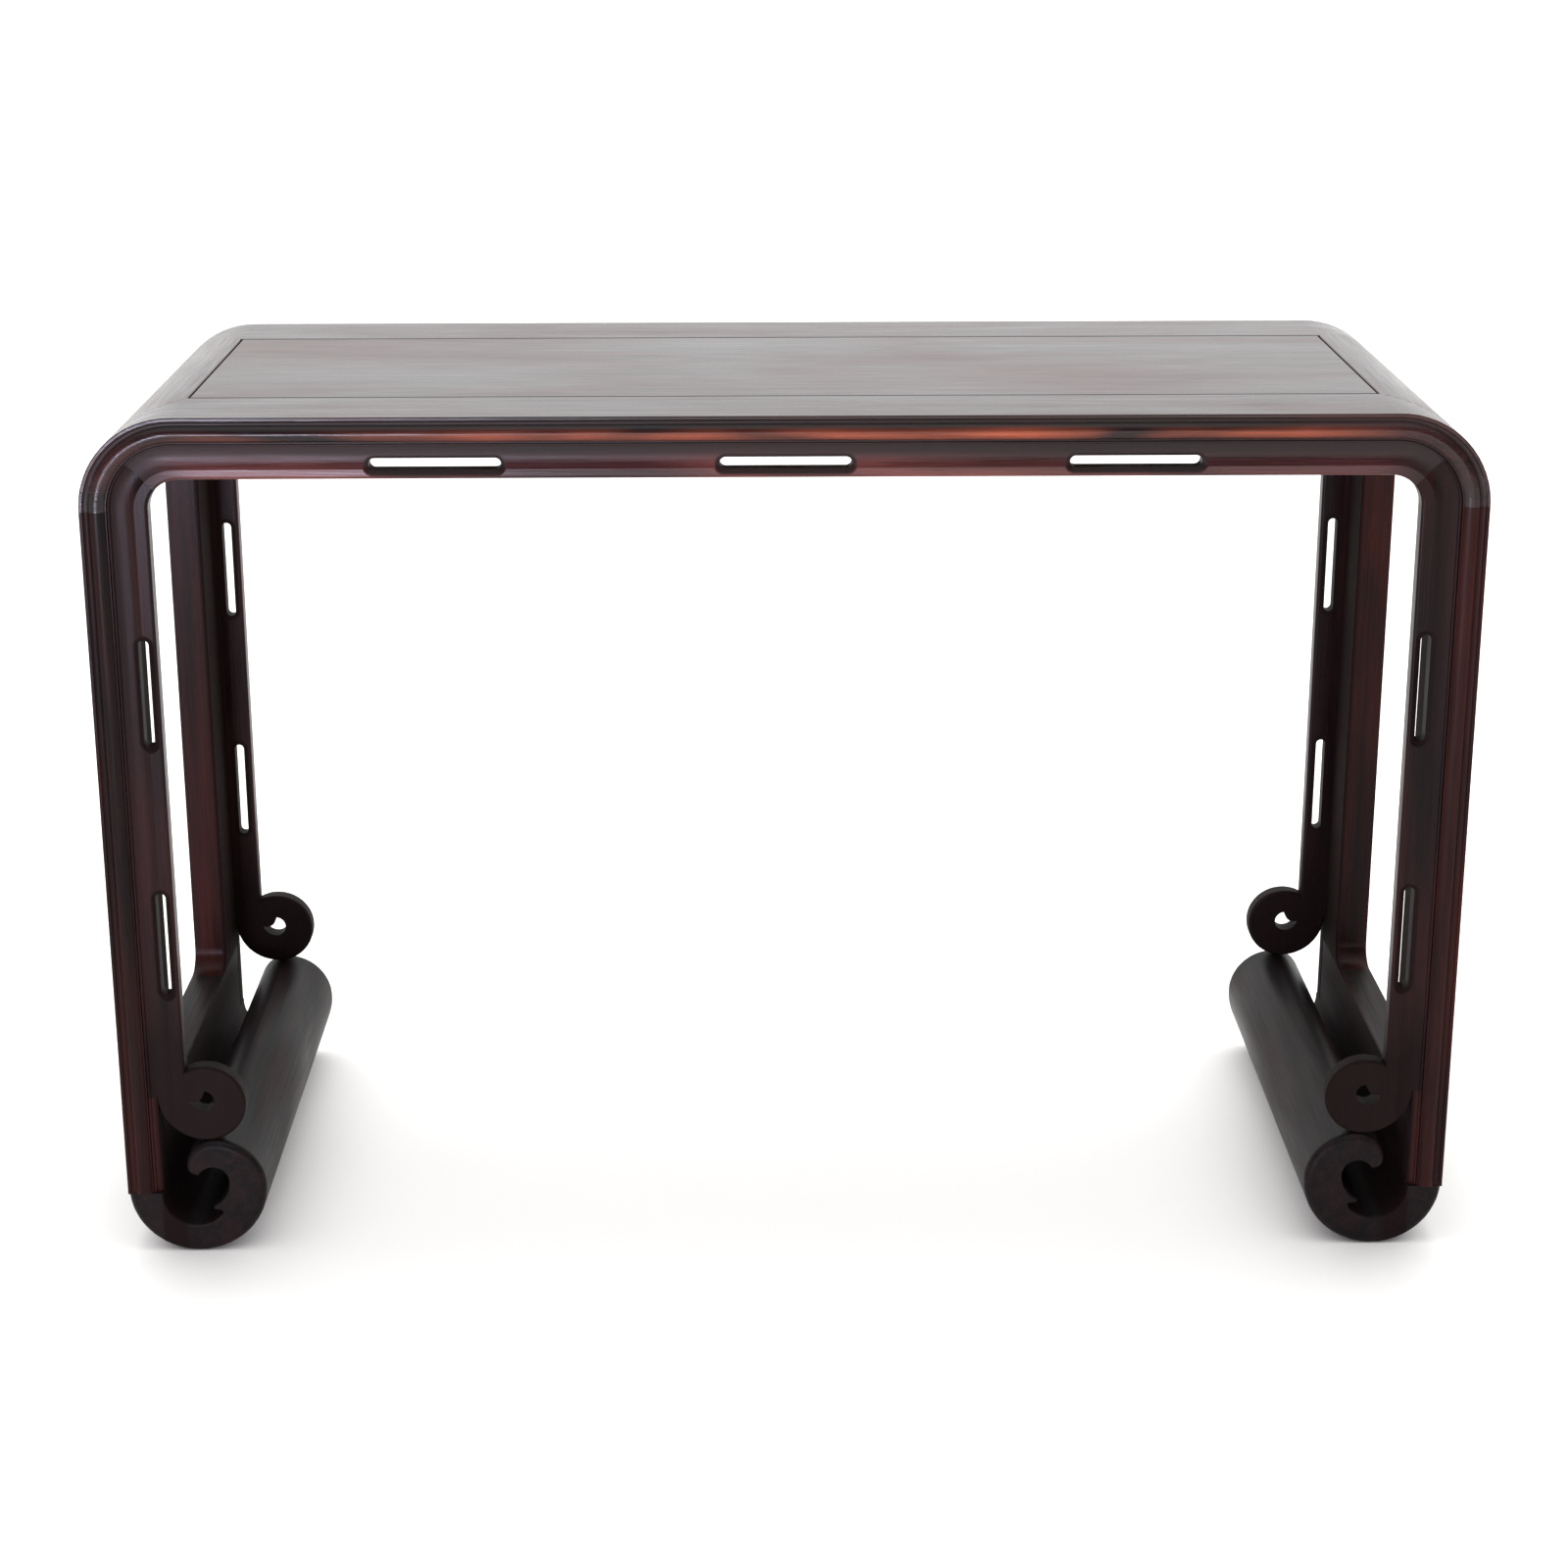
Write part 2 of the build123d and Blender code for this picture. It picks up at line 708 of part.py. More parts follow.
def main():
    """Build every piece and write it."""
    os.makedirs("parts", exist_ok=True)
    for name, maker in (("top_rail", make_rail), ("apron", make_apron)):
        piece = maker()
        for face, back in FACES.items():
            save(place(piece, back, back), f"{name}_{face}")
    for name, maker in (("top_end", make_end_member), ("scroll_foot", make_foot)):
        piece = maker()
        for side, left in SIDES.items():
            save(place(piece, left, False), f"{name}_{side}")
    for name, maker in (("spandrel", make_spandrel), ("leg_stile", make_stile)):
        piece = maker()
        for face, back in FACES.items():
            for side, left in SIDES.items():
                save(place(piece, left, back), f"{name}_{face}_{side}")
    save(make_panel(), "top_panel")
    for x, word in zip(batten_places, ("left", "middle", "right")):
        save(make_batten(x), f"panel_batten_{word}")
    for name, piece in make_keys().items():
        corners = [place(piece, left, back) for left in (False, True) for back in (False, True)]
        save(Compound(children=corners), name)


main()
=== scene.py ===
"""Looks of a lacquered hardwood altar table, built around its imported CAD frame.

The table is joined from solid timber: a mitred top frame whose ends bend down
into the legs, a floating panel, beaded and pierced aprons, and two scroll feet.
Every piece is finished in the same dark lacquer, so what tells one piece from
the next is the direction of its grain and how much red shows through the stain.
"""

import logging
from dataclasses import dataclass
from enum import Enum
from math import radians

import bmesh
import bpy
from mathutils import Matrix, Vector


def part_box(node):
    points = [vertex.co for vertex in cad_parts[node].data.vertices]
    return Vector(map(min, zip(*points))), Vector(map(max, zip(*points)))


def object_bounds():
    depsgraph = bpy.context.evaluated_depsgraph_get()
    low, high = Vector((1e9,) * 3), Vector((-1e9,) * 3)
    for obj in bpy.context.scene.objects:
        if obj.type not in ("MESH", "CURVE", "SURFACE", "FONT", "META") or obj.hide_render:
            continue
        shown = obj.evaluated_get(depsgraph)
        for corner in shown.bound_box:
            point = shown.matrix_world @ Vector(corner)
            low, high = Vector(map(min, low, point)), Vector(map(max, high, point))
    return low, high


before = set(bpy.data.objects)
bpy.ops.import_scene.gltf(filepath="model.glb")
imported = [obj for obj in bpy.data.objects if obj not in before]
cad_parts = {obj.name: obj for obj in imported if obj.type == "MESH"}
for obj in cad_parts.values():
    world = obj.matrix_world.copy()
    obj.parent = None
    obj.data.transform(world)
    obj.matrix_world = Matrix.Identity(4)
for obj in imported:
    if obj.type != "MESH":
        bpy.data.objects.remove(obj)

LOG = logging.getLogger("altar_table")
CAD_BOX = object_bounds()
MM = 0.001

Tree = bpy.types.NodeTree
Socket = bpy.types.NodeSocket
Pair = tuple[float, float]
Triple = tuple[float, float, float]
Profile = tuple[Pair, ...]  # mm in from the outline, and the amount there

MIX_UNDER = 6  # the Mix node's colour sockets, which share their names with others
MIX_OVER = 7
MIX_RESULT = 2
FADE_OUT = {"To Min": 1.0, "To Max": 0.0}  # for a share that falls from all to none


# ------------------------------------------------------------------ small tools
def linear(colour: str) -> tuple[float, float, float, float]:
    """Turn an sRGB hex colour into the linear values Blender works with.

    Args:
        colour: six hex digits after a hash, such as "#3a1f1a".

    Returns:
        Red, green, blue and an alpha of one.
    """
    channels = [int(colour[i : i + 2], 16) / 255 for i in (1, 3, 5)]
    red, green, blue = (
        c / 12.92 if c <= 0.04045 else ((c + 0.055) / 1.055) ** 2.4 for c in channels
    )
    return red, green, blue, 1.0


def add_node(
    tree: Tree,
    kind: str,
    settings: dict[str | int, object] | None = None,
    links: dict[str | int, Socket] | None = None,
) -> bpy.types.Node:
    """Add one node to a tree, set it up and link its inputs.

    Args:
        tree: the node tree that receives the node.
        kind: Blender's type name of the node.
        settings: properties by name, or input values by socket name or number.
        links: output sockets to plug in, by the input's name or number.

    Returns:
        The new node.
    """
    node = tree.nodes.new(kind)
    for name, value in (settings or {}).items():
        if isinstance(name, str) and hasattr(node, name):
            setattr(node, name, value)
        else:
            node.inputs[name].default_value = value
    for name, source in (links or {}).items():
        tree.links.new(source, node.inputs[name])
    return node


def blank_material(name: str) -> tuple[bpy.types.Material, bpy.types.Node]:
    """Start a material that holds a Principled shader and nothing else.

    Args:
        name: the finish, in plain words.

    Returns:
        The material and its shader node.
    """
    material = bpy.data.materials.new(name)
    material.use_nodes = True
    material.node_tree.nodes.clear()
    shader = add_node(material.node_tree, "ShaderNodeBsdfPrincipled")
    add_node(material.node_tree, "ShaderNodeOutputMaterial", links={"Surface": shader.outputs[0]})
    return material, shader


def dress(node: str, material: bpy.types.Material) -> None:
    """Give every material slot of a CAD node one finish.

    Args:
        node: the node's name in the frame.
        material: the finish it takes.
    """
    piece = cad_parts[node]
    if not piece.data.materials:
        piece.data.materials.append(material)
    for slot in piece.material_slots:
        slot.material = material
    LOG.info("%s takes %s", node, material.name)


# ------------------------------------------------------------------ places on the table
class Grain(Enum):
    """The way the fibres of a piece run, by the number of that axis."""

    ALONG_LENGTH = 0
    ALONG_DEPTH = 1
    UPRIGHT = 2


def from_middle(tree: Tree, place: Socket) -> Socket:
    """Measure how far a place is from the middle of the table, along its length.

    Args:
        tree: the node tree to work in.
        place: object coordinates.

    Returns:
        The distance in metres, the same on both sides.
    """
    along = add_node(tree, "ShaderNodeSeparateXYZ", links={0: place}).outputs["X"]
    return add_node(tree, "ShaderNodeMath", {"operation": "ABSOLUTE"}, {0: along}).outputs[0]


def beyond_box(tree: Tree, place: Socket, half: Triple) -> Socket:
    """Measure how far a place lies outside a box, looking at it square from the front.

    Args:
        tree: the node tree to work in.
        place: a position measured from the middle of the box.
        half: half the size of the box along each axis, in metres.

    Returns:
        The distance in metres, and zero inside the box.
    """
    steps = (
        {"operation": "ABSOLUTE"},
        {"operation": "SUBTRACT", 1: half},
        {"operation": "MAXIMUM", 1: (0, 0, 0)},
        {"operation": "MULTIPLY", 1: (1, 0, 1)},
    )
    outside = place
    for step in steps:
        outside = add_node(tree, "ShaderNodeVectorMath", step, {0: outside}).outputs[0]
    length = add_node(tree, "ShaderNodeVectorMath", {"operation": "LENGTH"}, {0: outside})
    return length.outputs["Value"]


@dataclass(frozen=True)
class EdgeLine:
    """Distance in from the outer outline of the table, which every moulding follows.

    The outline is a rectangle whose upper corners are quarter rounds, so one
    formula holds along the rails, round the bends and down the legs.  The
    rectangle goes on as far below the floor, which makes the floor its middle.
    """

    length: float = CAD_BOX[1][0] - CAD_BOX[0][0]
    height: float = CAD_BOX[1][2]
    corner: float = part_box("top_end_right")[1][0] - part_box("top_end_right")[0][0]

    def build(self, tree: Tree, place: Socket) -> Socket:
        """Work the distance out from a position.

        Args:
            tree: the node tree to work in.
            place: object coordinates.

        Returns:
            The distance in millimetres.
        """
        bend = (self.length / 2 - self.corner, 0.0, self.height - self.corner)
        radius = beyond_box(tree, place, bend)
        return add_node(
            tree,
            "ShaderNodeMapRange",
            {"clamp": False, "From Min": self.corner, "From Max": 0.0, "To Max": self.corner / MM},
            {"Value": radius},
        ).outputs[0]


@dataclass(frozen=True)
class SlotRing:
    """Distance from the rim of the nearest pierced slot, all slots being alike.

    A slot is a straight cut with round ends.  The ones in a board stand in a
    row, and the row is the same on both sides of the middle of the table.
    """

    centres: tuple[Pair, ...]  # mm from the middle of the table, and mm above the floor
    length: float  # mm
    width: float  # mm
    upright: bool

    def build(self, tree: Tree, place: Socket) -> Socket:
        """Work the distance out from a position.

        Args:
            tree: the node tree to work in.
            place: object coordinates.

        Returns:
            The distance from the rim in millimetres, below zero inside the slot.
        """
        mirrored = add_node(tree, "ShaderNodeVectorMath", {"operation": "ABSOLUTE"}, {0: place})
        straight = (self.length - self.width) / 2 * MM
        half = (0.0, 0.0, straight) if self.upright else (straight, 0.0, 0.0)
        reaches = []
        for across, up in self.centres:
            from_centre = add_node(
                tree,
                "ShaderNodeVectorMath",
                {"operation": "SUBTRACT", 1: (across * MM, 0.0, up * MM)},
                {0: mirrored.outputs[0]},
            ).outputs[0]
            reaches.append(beyond_box(tree, from_centre, half))
        nearest = reaches[0]
        for reach in reaches[1:]:
            nearest = add_node(
                tree, "ShaderNodeMath", {"operation": "MINIMUM"}, {0: nearest, 1: reach}
            ).outputs[0]
        return add_node(
            tree,
            "ShaderNodeMath",
            {"operation": "MULTIPLY_ADD", 1: 1 / MM, 2: -self.width / 2},
            {0: nearest},
        ).outputs[0]


# ------------------------------------------------------------------ finishes
@dataclass(frozen=True)
class LacqueredHardwood:
    """Dark stained hardwood under clear lacquer.

    The stain is nearly black, thinner along some fibres, so streaks of red
    show through.  Hands and cloths have worn it back to red along the full
    parts of the mouldings, where a painted highlight of the same red lies too.
    Painted shade, dark and dull, lies in the coves, quirks and hollows, round
    the slots, towards the corners, on inner faces and inside the feet, and
    some pieces are made darker towards the floor.  The lacquer fills the pores
    but follows the grain a little, which breaks up its sheen in fine lines along the piece.

    A pair of numbers for noise gives the value at which a feature starts to
    show and the value at which it is full.
    """

    name: str
    grain: Grain
    offset: float = 0.0  # metres, so that no two boards look cut from one place

    dark: str = "#110c0d"
    streak: str = "#281415"
    streak_noise: Pair = (0.42, 0.68)
    glow: str = "#4a1a12"
    glow_share: float = 0.35  # how much of the piece shows red through the stain
    glow_noise: Pair = (0.72, 0.9)  # before the share above lowers both
    glow_fade: float = 0.5  # how much of that share lowers the second

    # worn red on the full parts of the mouldings, laid on with a painted highlight
    rubbed_and_highlight: str = "#8c3b24"
    wear_and_highlight: Profile = ()
    wear_and_highlight_noise: Pair = (0.38, 0.62)
    wear_and_highlight_within: float = 380.0  # mm each side of the middle, the reach of hands and cloths, where the worn red and painted highlight are full
    wear_and_highlight_fade: float = 170.0  # mm past that, until neither worn red nor painted highlight is left

    # colour of the painted shade, and of the darker lower parts
    shade_and_low_dark: str = "#170b0a"
    painted_shade: Profile = ()  # painted shade across the moulding: in coves, quirks and hollows, on inner faces and inside the feet
    rim_and_end_shade: float = 0.9  # how dark the painted shade is round a slot and at shaded ends
    slots: SlotRing | None = None
    slot_bevel: float = 3.6  # mm out from the rim
    slot_fade: float = 1.5  # mm out from the bevel
    shaded_ends: Pair | None = None  # painted shade towards the corners, in mm from the middle, none to full
    darker_below: Pair | None = None  # darker towards the floor: mm above the floor, full to none
    low_edge_sway: float = 120.0  # mm by which patches move the upper edge of the darker lower part

    figure: float = 14.0  # mm between broad streaks
    fibre: float = 1.6  # mm between fine lines, coarser than real pores so that they show
    stretch: float = 22.0  # how much longer than wide a broad streak is
    fibre_stretch: float = 44.0  # how much longer than wide a fine line is
    patch_spread: float = 5.0  # how much wider a patch is than a streak
    patch_stretch: float = 5.0  # how much longer than wide a patch is
    line_noise: Pair = (0.35, 0.6)
    line_shade: float = 0.72  # what a fine line leaves of the colour
    pore_relief: Pair = (0.12, 0.4)  # strength, and depth in mm
    plane_relief: Pair = (0.35, 1.2)  # strength, and depth in mm

    roughness: float = 0.3
    sheen_noise: Pair = (0.3, 0.7)
    sheen_lines: Pair = (-0.05, 0.07)  # what fine lines add to the roughness
    dulling: float = 0.35  # added to the roughness under the painted shade and the darker lower parts
    clouding: float = 0.3  # how unevenly the sheen has been rubbed, from patch to patch
    specular: float = 0.15  # below the usual 0.5, as old lacquer is finely scratched

    def noise(
        self, tree: Tree, place: Socket, spacing: float, stretch: float, detail: float
    ) -> Socket:
        """Draw noise out along the grain.

        Args:
            tree: the node tree to work in.
            place: object coordinates.
            spacing: millimetres between streaks, across the grain.
            stretch: how much longer than wide a streak is.
            detail: octaves of finer noise.

        Returns:
            A value that is mostly between 0.3 and 0.7.
        """
        scale = [1 / (spacing * MM)] * 3
        scale[self.grain.value] /= stretch
        shift = [self.offset / (spacing * MM)] * 3
        mapped = add_node(
            tree, "ShaderNodeMapping", {"Scale": scale, "Location": shift}, {"Vector": place}
        ).outputs[0]
        return add_node(
            tree,
            "ShaderNodeTexNoise",
            {"Scale": 1.0, "Detail": detail, "Roughness": 0.6, "Distortion": 0.5},
            {"Vector": mapped},
        ).outputs["Fac"]

    def across_moulding(self, tree: Tree, place: Socket, amounts: Profile) -> Socket:
        """Give an amount that changes across the moulding and follows it round the bends.

        Args:
            tree: the node tree to work in.
            place: object coordinates.
            amounts: millimetres in from the outline, and the amount there.

        Returns:
            A share between 0 and 1.
        """
        reach = amounts[-1][0]
        inward = EdgeLine().build(tree, place)
        share = add_node(
            tree, "ShaderNodeMath", {"operation": "DIVIDE", 1: reach}, {0: inward}
        ).outputs[0]
        ramp = add_node(tree, "ShaderNodeValToRGB", links={0: share})
        stops = ramp.color_ramp.elements
        while len(stops) < len(amounts):
            stops.new(0.5)
        for stop, (distance, amount) in zip(stops, amounts):
            stop.position = distance / reach
            stop.color = (amount, amount, amount, 1.0)
        return ramp.outputs[0]

    def wear_and_highlight_share(self, tree: Tree, place: Socket, patches: Socket) -> Socket:
        """Find the share of worn red and painted highlight at a place on the mouldings.

        Args:
            tree: the node tree to work in.
            place: object coordinates.
            patches: noise that makes the worn red and painted highlight come and go along the
                piece.

        Returns:
            A share between 0 and 1.
        """
        start, full = self.wear_and_highlight_noise
        uneven = add_node(
            tree, "ShaderNodeMapRange", {"From Min": start, "From Max": full}, {"Value": patches}
        ).outputs[0]
        in_reach = add_node(
            tree,
            "ShaderNodeMapRange",
            {
                "From Min": self.wear_and_highlight_within * MM,
                "From Max": (self.wear_and_highlight_within + self.wear_and_highlight_fade) * MM,
                **FADE_OUT,
            },
            {"Value": from_middle(tree, place)},
        ).outputs[0]
        share = self.across_moulding(tree, place, self.wear_and_highlight)
        for factor in (uneven, in_reach):
            share = add_node(
                tree, "ShaderNodeMath", {"operation": "MULTIPLY"}, {0: share, 1: factor}
            ).outputs[0]
        return share

    def slot_shade_share(self, tree: Tree, place: Socket) -> Socket:
        """Find the painted shade in the bevel round each slot.

        Args:
            tree: the node tree to work in.
            place: object coordinates.

        Returns:
            A share that falls to 0 just outside the bevel.
        """
        return add_node(
            tree,
            "ShaderNodeMapRange",
            {
                "From Min": self.slot_bevel,
                "From Max": self.slot_bevel + self.slot_fade,
                "To Min": self.rim_and_end_shade,
                "To Max": 0.0,
            },
            {"Value": self.slots.build(tree, place)},
        ).outputs[0]

    def end_shade_share(self, tree: Tree, place: Socket) -> Socket:
        """Find the painted shade at both ends of a board, towards the corners.

        Args:
            tree: the node tree to work in.
            place: object coordinates.

        Returns:
            A share that grows softly from 0 towards the ends.
        """
        clear, covered = self.shaded_ends
        return add_node(
            tree,
            "ShaderNodeMapRange",
            {
                "interpolation_type": "SMOOTHSTEP",
                "From Min": clear * MM,
                "From Max": covered * MM,
                "To Max": self.rim_and_end_shade,
            },
            {"Value": from_middle(tree, place)},
        ).outputs[0]

    def darker_below_share(self, tree: Tree, place: Socket, patches: Socket) -> Socket:
        """Find how much darker a place is made near the floor, with a ragged upper edge.

        Args:
            tree: the node tree to work in.
            place: object coordinates.
            patches: noise that moves the edge up and down.

        Returns:
            A share that falls from 1 to 0 going up.
        """
        sway = self.low_edge_sway * MM
        low, high = self.darker_below
        height = add_node(tree, "ShaderNodeSeparateXYZ", links={0: place}).outputs["Z"]
        ragged = add_node(
            tree,
            "ShaderNodeMath",
            {"operation": "MULTIPLY_ADD", 1: sway},
            {0: patches, 2: height},
        ).outputs[0]
        return add_node(
            tree,
            "ShaderNodeMapRange",
            {"From Min": low * MM + sway / 2, "From Max": high * MM + sway / 2, **FADE_OUT},
            {"Value": ragged},
        ).outputs[0]

    def shade_and_low_dark_share(self, tree: Tree, place: Socket, patches: Socket) -> Socket | None:
        """Find how much painted shade and darkening near the floor lie at a place.

        Args:
            tree: the node tree to work in.
            place: object coordinates.
            patches: noise that breaks up the upper edge of the darker lower part.

        Returns:
            A share between 0 and 1, or None on a piece that has no such darkening.
        """
        shares = []
        if self.painted_shade:
            shares.append(self.across_moulding(tree, place, self.painted_shade))
        if self.slots:
            shares.append(self.slot_shade_share(tree, place))
        if self.shaded_ends:
            shares.append(self.end_shade_share(tree, place))
        if self.darker_below:
            shares.append(self.darker_below_share(tree, place, patches))
        if not shares:
            return None
        most = shares[0]
        for share in shares[1:]:
            most = add_node(
                tree, "ShaderNodeMath", {"operation": "MAXIMUM"}, {0: most, 1: share}
            ).outputs[0]
        return most

    def stain(self, tree: Tree, figure: Socket, patches: Socket) -> tuple[Socket, Socket]:
        """Colour the wood as the stain left it, and find where the red shows through.

        Args:
            tree: the node tree to work in.
            figure: noise of the broad streaks.
            patches: noise of wide patches.

        Returns:
            The stained colour, and the share of glowing red over it.
        """
        start, full = self.streak_noise
        streaks = add_node(
            tree, "ShaderNodeMapRange", {"From Min": start, "From Max": full}, {"Value": figure}
        ).outputs[0]
        stained = add_node(
            tree,
            "ShaderNodeMix",
            {
                "data_type": "RGBA",
                MIX_UNDER: linear(self.dark),
                MIX_OVER: linear(self.streak),
            },
            {0: streaks},
        ).outputs[MIX_RESULT]
        start, full = self.glow_noise
        thin = add_node(
            tree,
            "ShaderNodeMapRange",
            {
                "From Min": start - self.glow_share,
                "From Max": full - self.glow_fade * self.glow_share,
            },
            {"Value": patches},
        ).outputs[0]
        broken = add_node(
            tree, "ShaderNodeMath", {"operation": "MULTIPLY"}, {0: thin, 1: figure}
        ).outputs[0]
        return stained, broken

    def gloss(self, tree: Tree, fibre: Socket, shade_and_low_dark: Socket | None, patches: Socket) -> Socket:
        """Work the roughness out: fine lines, duller under painted shade and near the floor, and
        cloudy rubbing.

        Args:
            tree: the node tree to work in.
            fibre: noise of the fine lines.
            shade_and_low_dark: the share of painted shade and darkening near the floor, if the
                piece has any.
            patches: noise of wide patches.

        Returns:
            The roughness.
        """
        base = self.roughness - self.clouding / 2
        low, high = self.sheen_noise
        smoother, rougher = self.sheen_lines
        rough = add_node(
            tree,
            "ShaderNodeMapRange",
            {
                "From Min": low,
                "From Max": high,
                "To Min": base + smoother,
                "To Max": base + rougher,
            },
            {"Value": fibre},
        ).outputs[0]
        additions = [(patches, self.clouding)]
        if shade_and_low_dark is not None:
            additions.append((shade_and_low_dark, self.dulling))
        for share, amount in additions:
            rough = add_node(
                tree,
                "ShaderNodeMath",
                {"operation": "MULTIPLY_ADD", 1: amount},
                {0: share, 2: rough},
            ).outputs[0]
        return rough

    def build(self) -> bpy.types.Material:
        """Make the material.

        Returns:
            A procedural material on object coordinates.
        """
        material, shader = blank_material(self.name)
        tree = material.node_tree
        place = add_node(tree, "ShaderNodeTexCoord").outputs["Object"]
        figure = self.noise(tree, place, self.figure, self.stretch, detail=5.0)
        fibre = self.noise(tree, place, self.fibre, self.fibre_stretch, detail=3.0)
        patch = self.patch_spread * self.figure
        patches = self.noise(tree, place, patch, self.patch_stretch, detail=2.0)

        colour, glowing = self.stain(tree, figure, patches)
        # painted shade, with the darkening near the floor
        shade_and_low_dark = self.shade_and_low_dark_share(tree, place, patches)
        coats = [(glowing, self.glow)]
        # worn red and painted highlight along the mouldings
        if self.wear_and_highlight:
            coats.append((self.wear_and_highlight_share(tree, place, patches), self.rubbed_and_highlight))
        if shade_and_low_dark is not None:
            coats.append((shade_and_low_dark, self.shade_and_low_dark))
        for share, pigment in coats:
            colour = add_node(
                tree,
                "ShaderNodeMix",
                {"data_type": "RGBA", MIX_OVER: linear(pigment)},
                {0: share, MIX_UNDER: colour},
            ).outputs[MIX_RESULT]
        start, full = self.line_noise
        lines = add_node(
            tree,
            "ShaderNodeMapRange",
            {"From Min": start, "From Max": full, "To Min": self.line_shade, "To Max": 1.0},
            {"Value": fibre},
        ).outputs[0]
        colour = add_node(
            tree, "ShaderNodeVectorMath", {"operation": "SCALE"}, {0: colour, "Scale": lines}
        ).outputs[0]

        strength, depth = self.pore_relief
        pores = add_node(
            tree,
            "ShaderNodeBump",
            {"Strength": strength, "Distance": depth * MM},
            {"Height": fibre},
        ).outputs[0]
        strength, depth = self.plane_relief
        hand_planed = add_node(
            tree,
            "ShaderNodeBump",
            {"Strength": strength, "Distance": depth * MM},
            {"Height": figure, "Normal": pores},
        ).outputs[0]

        tree.links.new(colour, shader.inputs["Base Color"])
        tree.links.new(self.gloss(tree, fibre, shade_and_low_dark, patches), shader.inputs["Roughness"])
        tree.links.new(hand_planed, shader.inputs["Normal"])
        shader.inputs["Specular IOR Level"].default_value = self.specular
        return material


@dataclass(frozen=True)
class BareHardwood:
    """Planed hardwood with no stain or lacquer, as under the top and inside the joints.

    It looks dry and pale brown, with a soft figure and no shine.
    """

    name: str = "planed unfinished hardwood"
    pale: str = "#6b4a33"
    dark: str = "#4a3020"
    grain: Grain = Grain.ALONG_DEPTH
    spacing: float = 5.0  # mm between streaks
    stretch: float = 20.0  # how much longer than wide a streak is
    roughness: float = 0.75

    def build(self) -> bpy.types.Material:
        """Make the material.

        Returns:
            A procedural material on object coordinates.
        """
        material, shader = blank_material(self.name)
        tree = material.node_tree
        scale = [1 / (self.spacing * MM)] * 3
        scale[self.grain.value] /= self.stretch
        place = add_node(tree, "ShaderNodeTexCoord").outputs["Object"]
        mapped = add_node(tree, "ShaderNodeMapping", {"Scale": scale}, {"Vector": place})
        figure = add_node(
            tree, "ShaderNodeTexNoise", {"Scale": 1.0, "Detail": 4.0}, {"Vector": mapped.outputs[0]}
        ).outputs["Fac"]
        colour = add_node(
            tree,
            "ShaderNodeMix",
            {"data_type": "RGBA", MIX_UNDER: linear(self.pale), MIX_OVER: linear(self.dark)},
            {0: figure},
        ).outputs[MIX_RESULT]
        tree.links.new(colour, shader.inputs["Base Color"])
        shader.inputs["Roughness"].default_value = self.roughness
        return material


# ------------------------------------------------------------------ the table
@dataclass
class TopFrame:
    """Two rails and two bent end members, mitred round a floating panel."""

    # Stained and lacquered, and worn most of all: a clear sheen along the roll, with
    # orange red on its fullest line, partly worn and partly painted highlight, and dull painted
    # shade in the cove under the lip and the quirk under the roll.
    rail: LacqueredHardwood = LacqueredHardwood(
        "lacquered rail wood",
        Grain.ALONG_LENGTH,
        dark="#161011",
        streak="#2c1a1b",
        glow="#472523",
        # orange red on the roll's fullest line: worn, and a painted highlight
        rubbed_and_highlight="#c05c3a",
        wear_and_highlight=((9.0, 0.0), (13.0, 0.35), (17.0, 1.0), (20.0, 0.5), (23.0, 0.0)),
        # painted shade in the cove under the lip and in the quirk under the roll
        painted_shade=(
            (0.0, 0.0),
            (3.0, 0.0),
            (5.0, 0.7),
            (8.5, 0.4),
            (11.0, 0.0),
            (22.0, 0.0),
            (24.0, 0.9),
        ),
        roughness=0.24,
        specular=0.27,
        offset=0.13,
    )
    # The bends are handled less and keep more lacquer, so they mirror the room
    # in one long sweep, with fine red streaks running from front to back.
    end: LacqueredHardwood = LacqueredHardwood(
        "lacquered end wood",
        Grain.ALONG_DEPTH,
        dark="#160d0d",
        streak="#35191a",
        specular=0.45,
        offset=0.41,
    )
    # Wide boards under the most polish: a bright, almost flat sheen that hides
    # the broad figure until it is seen from above.
    panel: LacqueredHardwood = LacqueredHardwood(
        "lacquered panel wood", Grain.ALONG_LENGTH, figure=22.0, specular=0.5, offset=0.77
    )

    def dress(self) -> None:
        """Finish the frame and its panel."""
        rail = self.rail.build()
        for face in ("front", "back"):
            dress(f"top_rail_{face}", rail)
        end = self.end.build()
        for side in ("left", "right"):
            dress(f"top_end_{side}", end)
        dress("top_panel", self.panel.build())


